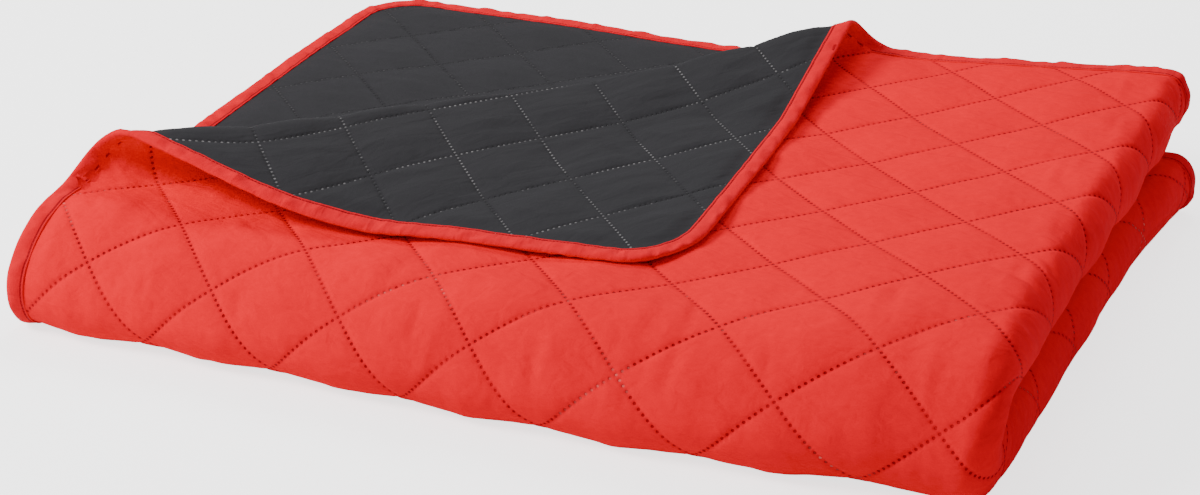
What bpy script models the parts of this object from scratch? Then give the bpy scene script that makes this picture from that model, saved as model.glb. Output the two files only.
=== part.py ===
"""Quilted bedspread, folded in four, with one corner of the top layer rolled back.

Metres, +Z up. X runs along the packet, Y from its front fold to its back, and the cloth lies on z = 0.
The cloth is described flat, as u across and v along, and one map lays every flat point in its folds.
"""
import bpy
import numpy as np

# The cloth and its quilting
CLOTH_WIDTH = 1.62
CLOTH_LENGTH = 1.32
SQUARE = 0.080
HALF_DIAGONAL = SQUARE / np.sqrt(2)
CORNER_RADIUS = 0.065
CORNER_STEP = 0.040

# Thickness, measured from the cloth's middle
LAYER_GAP = 0.0003
STITCH_THICKNESS = 0.0012
PUFF = 0.0019
PUFF_FADE = 0.040

# Part of the inner layers that the front fold presses flat, along v
PRESSED_FROM = 0.36
PRESSED_TO = 0.96
PRESSED_FADE = 0.06

# Binding, a folded tape round the edge
TAPE_WIDTH = 0.017
TAPE_WALL = 0.0010
TAPE_RIM = 0.0012
RIM_GAP = 0.0010
BORDER = 0.018

# The quilting crossing that the diamonds are counted from. The folds' places below are measured from it
GRID_U = 10.2 * HALF_DIAGONAL
GRID_V = CLOTH_LENGTH / 2 + 0.050

# The bottom centre of the folded bedspread, measured from that crossing, which becomes the origin
CENTRE = (-0.1809, 0.2699, 0.0)

# Packet sections: place across, heights of the cloth's middle in its layers, and the front fold's reach
FLOOR_LAYER = 0.0030
PACKET_COLUMNS = ("across", "top", "inner_top", "inner_low", "front")
PACKET_ROWS = (
    (-0.577, 0.0900, 0.0660, 0.0180, -0.0680),
    (-0.300, 0.0865, 0.0670, 0.0180, -0.0655),
    (0.000, 0.0920, 0.0670, 0.0230, -0.0590),
    (0.090, 0.1010, 0.0660, 0.0360, -0.0545),
    (0.150, 0.1080, 0.0630, 0.0480, -0.0490),
    (0.200, 0.1115, 0.0615, 0.0505, -0.0440),
)

# Front fold: three arcs, as shares of the section's height, and the lean where the last one starts
LOW_ARC = 0.335
HIGH_ARC = 0.42
LEAN = np.radians(52)
BEND_START_V = 0.46
BEND_END_Y = 0.16
INNER_SETBACK = 0.045

# Right-hand fold: where along the cloth it stands, and how far across
FOLD_START_U = 0.762
FOLD_ARC = 0.072
FOLD_REACH = 0.019
FOLD_BLEND_U = 0.45
FOLD_COLUMNS = ("v", "across")
FOLD_ROWS = (
    (0.00, 0.207),
    (0.14, 0.199),
    (0.35, 0.206),
    (0.50, 0.213),
    (0.66, 0.215),
    (0.85, 0.207),
    (1.00, 0.199),
    (1.32, 0.186),
)

# Rolled-back corner: the line it rolls over, then the roll's form at places along that line
ROLL_ANGLE = np.radians(44.4)
ROLL_START = 0.88 * HALF_DIAGONAL
ROLL_COLUMNS = ("along", "radius", "fall", "lead", "turn", "bow")
ROLL_ROWS = (
    (0.00, 0.0249, np.radians(7.5), 0.0035, np.radians(8), 0.038),
    (0.12, 0.0212, np.radians(11.5), 0.0035, np.radians(6), 0.049),
    (0.25, 0.0148, np.radians(7.5), 0.0050, np.radians(14), 0.019),
    (0.50, 0.0100, np.radians(7.5), 0.0160, np.radians(7), -0.006),
    (0.82, 0.0230, np.radians(8.0), 0.0380, np.radians(6), -0.009),
)
LANDING_RADIUS = 0.16
REST_GAP = 0.0084

# Mesh: how far an edge's middle may leave the cloth, and a border strip's corner the plane of its other three
CHORD_GAP = 0.0021
STRIP_TWIST = 0.0025
HALVINGS = 3
LINE_SPACING = 0.6 * HALF_DIAGONAL
SHARP_ANGLE = np.radians(60)
TOLERANCE = 1e-6

# Base colour and roughness of each material
FINISHES = {
    "red_cloth": ((0.80, 0.045, 0.040), 0.75),
    "charcoal_cloth": ((0.046, 0.045, 0.050), 0.85),
    "red_tape": ((0.76, 0.038, 0.036), 0.70),
}


def table_value(columns, rows, name, at):
    """Reads one named column of a short table at any place, on a smooth curve through its rows."""
    table = np.array(rows)
    places, values = table[:, 0], table[:, columns.index(name)]
    slopes = np.gradient(values, places)
    at = np.clip(at, places[0], places[-1])
    row = np.clip(np.searchsorted(places, at) - 1, 0, len(places) - 2)
    step = places[row + 1] - places[row]
    part = (at - places[row]) / step
    rest = 1 - part
    value = rest * rest * (1 + 2 * part) * values[row] + part * part * (1 + 2 * rest) * values[row + 1]
    return value + rest * part * step * (rest * slopes[row] - part * slopes[row + 1])


def packet(name, across):
    return table_value(PACKET_COLUMNS, PACKET_ROWS, name, across)


def roll(name, along):
    return table_value(ROLL_COLUMNS, ROLL_ROWS, name, along)


def soft_step(value):
    value = np.clip(value, 0, 1)
    return value * value * (3 - 2 * value)


def front_arcs(height, front):
    """Radii of the front fold's three arcs, and where the last one meets the level top."""
    low = LOW_ARC * height
    high = HIGH_ARC * height
    crown = (height - low - high * np.cos(LEAN)) / (1 - np.cos(LEAN))
    crown_end = front + high * (1 - np.sin(LEAN)) + crown * np.sin(LEAN)
    return low, high, crown, crown_end


def floor_end(across):
    """Y on the floor where the bend zone of the outer layer starts, so that its length is kept."""
    front = packet("front", across)
    low, high, crown, crown_end = front_arcs(packet("top", across) - FLOOR_LAYER, front)
    bend = low * np.pi / 2 + high * (np.pi / 2 - LEAN) + crown * LEAN + BEND_END_Y - crown_end
    return front + low + (GRID_V + BEND_END_Y - BEND_START_V) - bend


def front_section(v, across, z_low, z_high, front):
    """Y and Z along one section of the packet, from the floor round the front fold to the top."""
    low, high, crown, crown_end = front_arcs(z_high - z_low, front)
    start = floor_end(across)
    floor_run = start - front - low
    turns = (np.pi / 2, np.pi / 2 - LEAN, LEAN)
    low_end = floor_run + low * turns[0]
    high_end = low_end + high * turns[1]
    crown_stop = high_end + crown * turns[2]
    length = crown_stop + BEND_END_Y - crown_end
    bend_end_v = GRID_V + BEND_END_Y
    s = (v - BEND_START_V) / (bend_end_v - BEND_START_V) * length
    low_turn = np.clip((s - floor_run) / low, 0, turns[0])
    high_turn = np.clip((s - low_end) / high, 0, turns[1])
    crown_turn = np.clip((s - high_end) / crown, 0, turns[2])
    y = start - np.clip(s, 0, floor_run) - low * np.sin(low_turn) + high * (1 - np.cos(high_turn))
    y = y + crown * (np.sin(LEAN) - np.sin(LEAN - crown_turn)) + np.clip(s - crown_stop, 0, None)
    z = z_low + low * (1 - np.cos(low_turn)) + high * np.sin(high_turn)
    z = z + crown * (np.cos(LEAN - crown_turn) - np.cos(LEAN))
    y = np.where(v < BEND_START_V, start + BEND_START_V - v, y)
    y = np.where(v > bend_end_v, v - GRID_V, y)
    return y, np.where(v > bend_end_v, z_high, z)


def top_height(x, y):
    """Height of the top layer's middle at a place seen from above."""
    top = packet("top", x)
    low, high, crown, crown_end = front_arcs(top - FLOOR_LAYER, packet("front", x))
    back = np.clip((crown_end - y) / crown, 0, np.sin(LEAN))
    return top - crown * (1 - np.sqrt(1 - back * back))


def roll_section(reach, along):
    """Distance and height of the rolled corner, by cloth length past the roll's start."""
    radius, fall, lead, turn = (roll(name, along) for name in ("radius", "fall", "lead", "turn"))
    lead_radius = lead / turn
    loop_turn = np.pi + fall - turn
    loop_end = lead + radius * loop_turn
    height = lead_radius * (1 - np.cos(turn)) + radius * (np.cos(turn) + np.cos(fall))
    landing = LANDING_RADIUS * (1 - np.cos(fall))
    slope = np.clip((height - REST_GAP - landing) / np.sin(fall), 0, None)
    lead_angle = np.clip(reach / lead_radius, 0, turn)
    loop_angle = turn + np.clip((reach - lead) / radius, 0, loop_turn)
    down = np.clip(reach - loop_end, 0, slope)
    land_angle = fall - np.clip((reach - loop_end - slope) / LANDING_RADIUS, 0, fall)
    flat = np.clip(reach - loop_end - slope - LANDING_RADIUS * fall, 0, None)
    across = lead_radius * np.sin(lead_angle) + radius * (np.sin(loop_angle) - np.sin(turn))
    across = across - down * np.cos(fall) - LANDING_RADIUS * (np.sin(fall) - np.sin(land_angle)) - flat
    up = lead_radius * (1 - np.cos(lead_angle)) + radius * (np.cos(turn) - np.cos(loop_angle))
    up = up - down * np.sin(fall) - LANDING_RADIUS * (np.cos(land_angle) - np.cos(fall))
    return across, up


def round_corners(u, v):
    """Draws the cloth's square corners in to round ones."""
    from_u = np.minimum(u, CLOTH_WIDTH - u)
    from_v = np.minimum(v, CLOTH_LENGTH - v)
    a = np.clip(1 - from_u / CORNER_RADIUS, 0, None)
    b = np.clip(1 - from_v / CORNER_RADIUS, 0, None)
    shrink = np.maximum(a, b) / np.maximum(np.hypot(a, b), TOLERANCE)
    shrink = np.where((a > 0) & (b > 0), shrink, 1)
    new_u = np.where(a > 0, (1 - a * shrink) * CORNER_RADIUS, from_u)
    new_v = np.where(b > 0, (1 - b * shrink) * CORNER_RADIUS, from_v)
    u = np.where(u < CLOTH_WIDTH / 2, new_u, CLOTH_WIDTH - new_u)
    v = np.where(v < CLOTH_LENGTH / 2, new_v, CLOTH_LENGTH - new_v)
    return u, v


def fold_part(u):
    """0 on the outer layers, 1 on the inner ones, and between them round the right-hand fold."""
    return (1 - np.cos(np.clip((u - FOLD_START_U) / FOLD_ARC, 0, 1) * np.pi)) / 2


def lay_packet(u, v):
    """Places flat points in the four layers, with no corner rolled back."""
    end = table_value(FOLD_COLUMNS, FOLD_ROWS, "across", v)
    turn = np.clip((u - FOLD_START_U) / FOLD_ARC, 0, 1) * np.pi
    skew = end - (FOLD_START_U - GRID_U)
    shift = skew * np.clip((u - FOLD_BLEND_U) / (FOLD_START_U - FOLD_BLEND_U), 0, 1)
    x = np.where(u < FOLD_START_U, u - GRID_U + shift, end + FOLD_REACH * np.sin(turn))
    x = np.where(u > FOLD_START_U + FOLD_ARC, end - (u - FOLD_START_U - FOLD_ARC), x)
    part = fold_part(u)
    z_high = packet("top", x) * (1 - part) + packet("inner_top", x) * part
    z_low = FLOOR_LAYER * (1 - part) + packet("inner_low", x) * part
    y, z = front_section(v, x, z_low, z_high, packet("front", x) + INNER_SETBACK * part)
    return np.stack([x, y, z], -1)


def lay(u, v):
    """Places flat points in the folded cloth, in the frame that the record describes."""
    u, v = round_corners(np.asarray(u, float), np.asarray(v, float))
    sine, cosine = np.sin(ROLL_ANGLE), np.cos(ROLL_ANGLE)
    past_v = v - GRID_V - ROLL_START
    along = u * cosine + past_v * sine
    reach = past_v * cosine - u * sine + roll("bow", along)
    rolled = (u < FOLD_START_U) & (reach > 0)
    reach = np.where(rolled, reach, 0)
    line = lay_packet(u + reach * sine, v - reach * cosine)
    across, up = roll_section(reach, along)
    x = line[..., 0] - across * sine
    y = line[..., 1] + across * cosine
    corner = np.stack([x, y, top_height(x, y) + up], -1)
    return np.where(rolled[..., None], corner, line) - np.array(CENTRE)


def puff(u, v):
    """Height of the quilting: nothing on a stitched line or at the edge, most in a diamond's middle."""
    x = (u - GRID_U) / HALF_DIAGONAL
    y = (v - GRID_V) / HALF_DIAGONAL
    rise = np.sqrt(np.abs((x - y + 1) % 2 - 1) * np.abs((x + y + 1) % 2 - 1))
    edge = np.minimum.reduce([u, CLOTH_WIDTH - u, v, CLOTH_LENGTH - v])
    open_edge = soft_step((edge - BORDER) / PUFF_FADE)
    pressed = soft_step((v - PRESSED_FROM) / PRESSED_FADE) * soft_step((PRESSED_TO - v) / PRESSED_FADE)
    return PUFF * rise * open_edge * (1 - pressed * fold_part(u))


def grid_lines(length, zero):
    """Flat places of the mesh lines: the borders, the corners and each crossing or middle between."""
    fixed = [BORDER, CORNER_STEP, CORNER_RADIUS]
    fixed = fixed + [length - place for place in reversed(fixed)]
    first = int(np.ceil((CORNER_RADIUS - zero) / HALF_DIAGONAL))
    last = int(np.floor((length - CORNER_RADIUS - zero) / HALF_DIAGONAL))
    crossings = [zero + step * HALF_DIAGONAL for step in range(first, last + 1)]
    kept = [place for place in crossings
            if min(place - CORNER_RADIUS, length - CORNER_RADIUS - place) > LINE_SPACING]
    return np.array(sorted(fixed + kept))


def flat_mesh():
    """Nodes and triangles of the flat cloth inside its border, with edges on the stitched lines."""
    us = grid_lines(CLOTH_WIDTH, GRID_U)
    vs = grid_lines(CLOTH_LENGTH, GRID_V)
    nodes = [(u, v) for u in us for v in vs]
    triangles = []
    for i in range(len(us) - 1):
        for j in range(len(vs) - 1):
            a, d = i * len(vs) + j, i * len(vs) + j + 1
            b, c = a + len(vs), d + len(vs)
            middle_u = (us[i] + us[i + 1]) / 2
            middle_v = (vs[j] + vs[j + 1]) / 2
            rising = (middle_u - GRID_U - middle_v + GRID_V) / HALF_DIAGONAL
            if abs((rising + 1) % 2 - 1) < 0.5:
                triangles += [(a, b, c), (a, c, d)]
            else:
                triangles += [(a, b, d), (b, c, d)]
    return nodes, triangles


def edge_place(u, v):
    """The place on the cloth's edge straight out from a place on the border line."""
    near = BORDER + TOLERANCE
    u = 0 if u < near else CLOTH_WIDTH if u > CLOTH_WIDTH - near else u
    v = 0 if v < near else CLOTH_LENGTH if v > CLOTH_LENGTH - near else v
    return u, v


def strip_twist(flat, laid, ends):
    """How far one corner of the border strip beside each edge is from the plane of the other three."""
    outer = np.array([edge_place(*place) for place in flat])
    on_border = np.any(outer != flat, axis=1)
    edge = lay(outer[:, 0], outer[:, 1])
    start, stop = ends[:, 0], ends[:, 1]
    normals = np.cross(laid[stop] - laid[start], edge[start] - laid[start])
    lengths = np.maximum(np.linalg.norm(normals, axis=1), TOLERANCE ** 2)
    rise = np.abs(np.sum((edge[stop] - laid[start]) * normals, axis=1)) / lengths
    return np.where(on_border[start] & on_border[stop], rise, 0)


def halve_edges(nodes, triangles):
    """Splits each edge that leaves the laid cloth too far, or that a twisted border strip runs along."""
    flat = np.array(nodes)
    laid = lay(flat[:, 0], flat[:, 1])
    edges = sorted({tuple(sorted((t[k], t[k - 1]))) for t in triangles for k in range(3)})
    ends = np.array(edges)
    middles = (flat[ends[:, 0]] + flat[ends[:, 1]]) / 2
    stray = lay(middles[:, 0], middles[:, 1]) - (laid[ends[:, 0]] + laid[ends[:, 1]]) / 2
    bent = np.linalg.norm(stray, axis=1) > CHORD_GAP
    twisted = strip_twist(flat, laid, ends) > STRIP_TWIST
    split = {}
    for edge, middle, cut in zip(edges, middles, bent | twisted):
        if cut:
            split[edge] = len(nodes)
            nodes.append(tuple(middle))
    result = []
    for a, b, c in triangles:
        ab, bc, ca = (split.get(tuple(sorted(pair))) for pair in ((a, b), (b, c), (c, a)))
        result += split_triangle(a, b, c, ab, bc, ca)
    return nodes, result


def split_triangle(a, b, c, ab, bc, ca):
    """Cuts a triangle at the new nodes on its edges."""
    cuts = [node is not None for node in (ab, bc, ca)]
    if not any(cuts):
        return [(a, b, c)]
    if all(cuts):
        return [(a, ab, ca), (ab, b, bc), (bc, c, ca), (ab, bc, ca)]
    while not (cuts[0] and not cuts[2]):
        a, b, c, ab, bc, ca = b, c, a, bc, ca, ab
        cuts = cuts[1:] + cuts[:1]
    if cuts[1]:
        return [(a, ab, c), (ab, b, bc), (ab, bc, c)]
    return [(a, ab, c), (ab, b, c)]


def outline(triangles):
    """The mesh's outer nodes in order, with the cloth on the left."""
    following = {}
    directed = {(t[k - 1], t[k]) for t in triangles for k in range(3)}
    for start, stop in directed:
        if (stop, start) not in directed:
            following[start] = stop
    loop = [min(following)]
    while following[loop[-1]] != loop[0]:
        loop.append(following[loop[-1]])
    return loop


def node_normals(points, triangles):
    faces = np.array(triangles)
    corners = points[faces]
    crosses = np.cross(corners[:, 1] - corners[:, 0], corners[:, 2] - corners[:, 0])
    normals = np.zeros_like(points)
    for k in range(3):
        np.add.at(normals, faces[:, k], crosses)
    return normals / np.linalg.norm(normals, axis=1, keepdims=True)


class Cloth:
    """The laid middle of the cloth: its points, normals, triangles, border loop and edge loop."""

    def __init__(self):
        nodes, triangles = flat_mesh()
        for _ in range(HALVINGS):
            nodes, triangles = halve_edges(nodes, triangles)
        self.border = outline(triangles)
        self.edge = list(range(len(nodes), len(nodes) + len(self.border)))
        nodes = nodes + [edge_place(*nodes[node]) for node in self.border]
        strip = []
        for k in range(len(self.border)):
            inner, next_inner = self.border[k - 1], self.border[k]
            outer, next_outer = self.edge[k - 1], self.edge[k]
            strip += [(outer, next_outer, next_inner), (outer, next_inner, inner)]
        self.triangles = triangles + strip
        self.flat = np.array(nodes)
        self.points = lay(self.flat[:, 0], self.flat[:, 1])
        self.normals = node_normals(self.points, self.triangles)

    def rim(self, depth):
        """Points and normals at a depth in from the edge, one for each edge node."""
        share = depth / BORDER
        points = self.points[self.edge] * (1 - share) + self.points[self.border] * share
        normals = self.normals[self.edge] * (1 - share) + self.normals[self.border] * share
        return points, normals


def material(name):
    colour, roughness = FINISHES[name]
    finish = bpy.data.materials.new(name)
    finish.use_nodes = True
    shader = finish.node_tree.nodes["Principled BSDF"]
    shader.inputs["Base Color"].default_value = (*colour, 1)
    shader.inputs["Roughness"].default_value = roughness
    shader.inputs["Metallic"].default_value = 0
    return finish


def add_solid(name, points, faces, finish):
    mesh = bpy.data.meshes.new(name)
    mesh.from_pydata([tuple(point) for point in points], [], faces)
    mesh.materials.append(finish)
    mesh.shade_smooth()
    mesh.set_sharp_from_angle(angle=SHARP_ANGLE)
    solid = bpy.data.objects.new(name, mesh)
    bpy.context.scene.collection.objects.link(solid)
    return solid


def panel(name, cloth, side, finish):
    """One face of the quilt: flat towards the other panel, puffed between the stitched lines."""
    middle, normals = cloth.points.copy(), cloth.normals.copy()
    middle[cloth.edge], normals[cloth.edge] = cloth.rim(TAPE_RIM + RIM_GAP)
    raised = puff(cloth.flat[:, 0], cloth.flat[:, 1])
    inside = middle + side * normals * LAYER_GAP / 2
    outside = inside + side * normals * (STITCH_THICKNESS + raised)[:, None]
    if side > 0:
        resting = np.abs(cloth.points[:, 2] - FLOOR_LAYER) < TOLERANCE
        resting[cloth.edge + cloth.border] = False
        outside[resting, 2] = 0
        outside[:, 2] = np.maximum(outside[:, 2], 0)
    count = len(middle)
    faces = []
    for a, b, c in cloth.triangles:
        out, back = (a, b, c), (c + count, b + count, a + count)
        faces += [out, back] if side > 0 else [out[::-1], back[::-1]]
    for k in range(len(cloth.edge)):
        a, b = cloth.edge[k - 1], cloth.edge[k]
        wall = [(a, a + count, b + count), (a, b + count, b)]
        faces += wall if side > 0 else [face[::-1] for face in wall]
    return add_solid(name, np.concatenate([outside, inside]), faces, finish)


def binding(name, cloth, finish):
    """The tape round the edge: a folded channel that holds the rims of both panels."""
    inner_half = LAYER_GAP / 2 + STITCH_THICKNESS + LAYER_GAP
    outer_half = inner_half + TAPE_WALL
    section = (
        (0, -outer_half), (TAPE_WIDTH, -outer_half), (TAPE_WIDTH, -inner_half), (TAPE_RIM, -inner_half),
        (TAPE_RIM, inner_half), (TAPE_WIDTH, inner_half), (TAPE_WIDTH, outer_half), (0, outer_half),
    )
    rings = []
    for depth, height in section:
        middle, normals = cloth.rim(depth)
        rings.append(middle + normals * height)
    points = np.stack(rings, 1).reshape(-1, 3)
    size = len(section)
    faces = []
    for k in range(len(cloth.edge)):
        here, there = (k - 1) % len(cloth.edge) * size, k * size
        for j in range(size):
            following = (j + 1) % size
            a, b, c, d = here + j, here + following, there + following, there + j
            runs_in = section[j][0] < section[following][0]
            faces += [(a, b, c), (a, c, d)] if runs_in else [(a, b, d), (b, c, d)]
    return add_solid(name, points, faces, finish)


def build():
    for existing in list(bpy.data.objects):
        bpy.data.objects.remove(existing, do_unlink=True)
    cloth = Cloth()
    panel("face_panel", cloth, 1, material("red_cloth"))
    panel("back_panel", cloth, -1, material("charcoal_cloth"))
    binding("binding", cloth, material("red_tape"))


build()
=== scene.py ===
import math

import bpy
import numpy as np
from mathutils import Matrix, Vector


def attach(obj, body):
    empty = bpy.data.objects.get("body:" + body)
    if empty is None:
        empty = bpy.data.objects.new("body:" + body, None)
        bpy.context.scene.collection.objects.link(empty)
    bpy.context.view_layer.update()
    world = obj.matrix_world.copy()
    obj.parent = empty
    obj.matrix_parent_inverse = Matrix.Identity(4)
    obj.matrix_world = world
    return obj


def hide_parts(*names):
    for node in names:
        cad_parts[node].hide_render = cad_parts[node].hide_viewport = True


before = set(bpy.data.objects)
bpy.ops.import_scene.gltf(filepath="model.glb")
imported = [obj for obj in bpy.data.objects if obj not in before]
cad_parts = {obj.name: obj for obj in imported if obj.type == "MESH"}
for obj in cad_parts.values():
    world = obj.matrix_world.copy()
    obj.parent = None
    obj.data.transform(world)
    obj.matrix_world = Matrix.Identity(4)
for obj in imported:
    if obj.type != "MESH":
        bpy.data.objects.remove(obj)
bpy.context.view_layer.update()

# The cloth lies flat as u across and v along, in metres. The folds below lay it down
quilt = {
    "width": 1.62,
    "length": 1.32,
    "square": 0.080,  # side of a quilted diamond
    "cornerRadius": 0.065,
    "halfGap": 0.00015,  # from the cloth's middle to either panel
    "welded": 0.0012,  # a panel's thickness on a welded line
    "puff": 0.0044,  # what the wadding adds in a diamond's middle
    "puffShape": 0.48,  # below 0.5 the diamonds are flatter on top and steeper at the lines
    "pressedShare": 0.8,  # how much of the puff goes where the cloth rests on the floor
    "borderWidth": 0.0172,
    "borderFade": 0.016,
}
halfDiagonal = quilt["square"] / math.sqrt(2)
gridU = 10.2 * halfDiagonal
gridV = quilt["length"] / 2 + 0.050
centre = np.array((-0.1809, 0.2699, 0.0))

packet = {
    "floorLayer": 0.0030,
    "columns": ("across", "top", "innerTop", "innerLow", "front"),
    "rows": (
        (-0.577, 0.0900, 0.0660, 0.0180, -0.0680),
        (-0.300, 0.0865, 0.0670, 0.0180, -0.0655),
        (0.000, 0.0920, 0.0670, 0.0230, -0.0590),
        (0.090, 0.1010, 0.0660, 0.0360, -0.0545),
        (0.150, 0.1080, 0.0630, 0.0480, -0.0490),
        (0.200, 0.1115, 0.0615, 0.0505, -0.0440),
    ),
}
frontFold = {
    "lowArc": 0.335,  # shares of the section's height
    "highArc": 0.42,
    "lean": math.radians(52),
    "bendStartV": 0.46,
    "bendEndY": 0.16,
    "innerSetback": 0.045,
}
sideFold = {
    "startU": 0.762,
    "arc": 0.072,
    "reach": 0.019,
    "blendU": 0.45,
    "columns": ("v", "across"),
    "rows": ((0.00, 0.207), (0.14, 0.199), (0.35, 0.206), (0.50, 0.213), (0.66, 0.215), (0.85, 0.207),
             (1.00, 0.199), (1.32, 0.186)),
}
roll = {
    "angle": math.radians(44.4),
    "start": 0.88 * halfDiagonal,
    "columns": ("along", "radius", "fall", "lead", "turn", "bow"),
    "rows": (
        (0.00, 0.0249, math.radians(7.5), 0.0035, math.radians(8), 0.038),
        (0.12, 0.0212, math.radians(11.5), 0.0035, math.radians(6), 0.049),
        (0.25, 0.0148, math.radians(7.5), 0.0050, math.radians(14), 0.019),
        (0.50, 0.0100, math.radians(7.5), 0.0160, math.radians(7), -0.006),
        (0.82, 0.0230, math.radians(8.0), 0.0380, math.radians(6), -0.009),
    ),
    "landingRadius": 0.16,
    "restGap": 0.0084,
}


def tableValue(piece, name, at):
    # Reads one named column at any place, on a smooth curve through its rows
    table = np.array(piece["rows"])
    places, values = table[:, 0], table[:, piece["columns"].index(name)]
    slopes = np.gradient(values, places)
    at = np.clip(at, places[0], places[-1])
    row = np.clip(np.searchsorted(places, at) - 1, 0, len(places) - 2)
    step = places[row + 1] - places[row]
    part = (at - places[row]) / step
    rest = 1 - part
    value = rest * rest * (1 + 2 * part) * values[row] + part * part * (1 + 2 * rest) * values[row + 1]
    return value + rest * part * step * (rest * slopes[row] - part * slopes[row + 1])


def softStep(value):
    value = np.clip(value, 0, 1)
    return value * value * (3 - 2 * value)


def frontArcs(height, front):
    low = frontFold["lowArc"] * height
    high = frontFold["highArc"] * height
    lean = frontFold["lean"]
    crown = (height - low - high * math.cos(lean)) / (1 - math.cos(lean))
    crownEnd = front + high * (1 - math.sin(lean)) + crown * math.sin(lean)
    return low, high, crown, crownEnd


def floorEnd(across):
    front = tableValue(packet, "front", across)
    low, high, crown, crownEnd = frontArcs(tableValue(packet, "top", across) - packet["floorLayer"], front)
    lean = frontFold["lean"]
    bend = low * math.pi / 2 + high * (math.pi / 2 - lean) + crown * lean + frontFold["bendEndY"] - crownEnd
    return front + low + (gridV + frontFold["bendEndY"] - frontFold["bendStartV"]) - bend


def frontSection(v, across, zLow, zHigh, front):
    low, high, crown, crownEnd = frontArcs(zHigh - zLow, front)
    lean = frontFold["lean"]
    bendStartV = frontFold["bendStartV"]
    start = floorEnd(across)
    floorRun = start - front - low
    turns = (math.pi / 2, math.pi / 2 - lean, lean)
    lowEnd = floorRun + low * turns[0]
    highEnd = lowEnd + high * turns[1]
    crownStop = highEnd + crown * turns[2]
    bendEndV = gridV + frontFold["bendEndY"]
    s = (v - bendStartV) / (bendEndV - bendStartV) * (crownStop + frontFold["bendEndY"] - crownEnd)
    lowTurn = np.clip((s - floorRun) / low, 0, turns[0])
    highTurn = np.clip((s - lowEnd) / high, 0, turns[1])
    crownTurn = np.clip((s - highEnd) / crown, 0, turns[2])
    y = start - np.clip(s, 0, floorRun) - low * np.sin(lowTurn) + high * (1 - np.cos(highTurn))
    y = y + crown * (math.sin(lean) - np.sin(lean - crownTurn)) + np.clip(s - crownStop, 0, None)
    z = zLow + low * (1 - np.cos(lowTurn)) + high * np.sin(highTurn)
    z = z + crown * (np.cos(lean - crownTurn) - math.cos(lean))
    y = np.where(v < bendStartV, start + bendStartV - v, y)
    y = np.where(v > bendEndV, v - gridV, y)
    return y, np.where(v > bendEndV, zHigh, z)


def topHeight(x, y):
    top = tableValue(packet, "top", x)
    low, high, crown, crownEnd = frontArcs(top - packet["floorLayer"], tableValue(packet, "front", x))
    back = np.clip((crownEnd - y) / crown, 0, math.sin(frontFold["lean"]))
    return top - crown * (1 - np.sqrt(1 - back * back))


def rollSection(reach, along):
    radius, fall, lead, turn = (tableValue(roll, name, along) for name in ("radius", "fall", "lead", "turn"))
    landingRadius = roll["landingRadius"]
    leadRadius = lead / turn
    loopTurn = math.pi + fall - turn
    loopEnd = lead + radius * loopTurn
    height = leadRadius * (1 - np.cos(turn)) + radius * (np.cos(turn) + np.cos(fall))
    landing = landingRadius * (1 - np.cos(fall))
    slope = np.clip((height - roll["restGap"] - landing) / np.sin(fall), 0, None)
    leadAngle = np.clip(reach / leadRadius, 0, turn)
    loopAngle = turn + np.clip((reach - lead) / radius, 0, loopTurn)
    down = np.clip(reach - loopEnd, 0, slope)
    landAngle = fall - np.clip((reach - loopEnd - slope) / landingRadius, 0, fall)
    flat = np.clip(reach - loopEnd - slope - landingRadius * fall, 0, None)
    across = leadRadius * np.sin(leadAngle) + radius * (np.sin(loopAngle) - np.sin(turn))
    across = across - down * np.cos(fall) - landingRadius * (np.sin(fall) - np.sin(landAngle)) - flat
    up = leadRadius * (1 - np.cos(leadAngle)) + radius * (np.cos(turn) - np.cos(loopAngle))
    up = up - down * np.sin(fall) - landingRadius * (np.cos(landAngle) - np.cos(fall))
    return across, up


def roundCorners(u, v):
    radius = quilt["cornerRadius"]
    fromU = np.minimum(u, quilt["width"] - u)
    fromV = np.minimum(v, quilt["length"] - v)
    a = np.clip(1 - fromU / radius, 0, None)
    b = np.clip(1 - fromV / radius, 0, None)
    shrink = np.maximum(a, b) / np.maximum(np.hypot(a, b), 1e-6)
    shrink = np.where((a > 0) & (b > 0), shrink, 1)
    newU = np.where(a > 0, (1 - a * shrink) * radius, fromU)
    newV = np.where(b > 0, (1 - b * shrink) * radius, fromV)
    u = np.where(u < quilt["width"] / 2, newU, quilt["width"] - newU)
    v = np.where(v < quilt["length"] / 2, newV, quilt["length"] - newV)
    return u, v


def innerShare(u):
    # 0 on the outer layers, 1 on the inner ones
    return (1 - np.cos(np.clip((u - sideFold["startU"]) / sideFold["arc"], 0, 1) * math.pi)) / 2


def foldPacket(u, v):
    startU, arc = sideFold["startU"], sideFold["arc"]
    end = tableValue(sideFold, "across", v)
    turn = np.clip((u - startU) / arc, 0, 1) * math.pi
    skew = end - (startU - gridU)
    shift = skew * np.clip((u - sideFold["blendU"]) / (startU - sideFold["blendU"]), 0, 1)
    x = np.where(u < startU, u - gridU + shift, end + sideFold["reach"] * np.sin(turn))
    x = np.where(u > startU + arc, end - (u - startU - arc), x)
    part = innerShare(u)
    zHigh = tableValue(packet, "top", x) * (1 - part) + tableValue(packet, "innerTop", x) * part
    zLow = packet["floorLayer"] * (1 - part) + tableValue(packet, "innerLow", x) * part
    front = tableValue(packet, "front", x) + frontFold["innerSetback"] * part
    y, z = frontSection(v, x, zLow, zHigh, front)
    return np.stack([x, y, z], -1)


def rollPlace(u, v):
    # Place along the roll's line, and how far past the line the cloth reaches
    sine, cosine = math.sin(roll["angle"]), math.cos(roll["angle"])
    pastV = v - gridV - roll["start"]
    along = u * cosine + pastV * sine
    reach = pastV * cosine - u * sine + tableValue(roll, "bow", along)
    return along, np.where((u < sideFold["startU"]) & (reach > 0), reach, 0)


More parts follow.
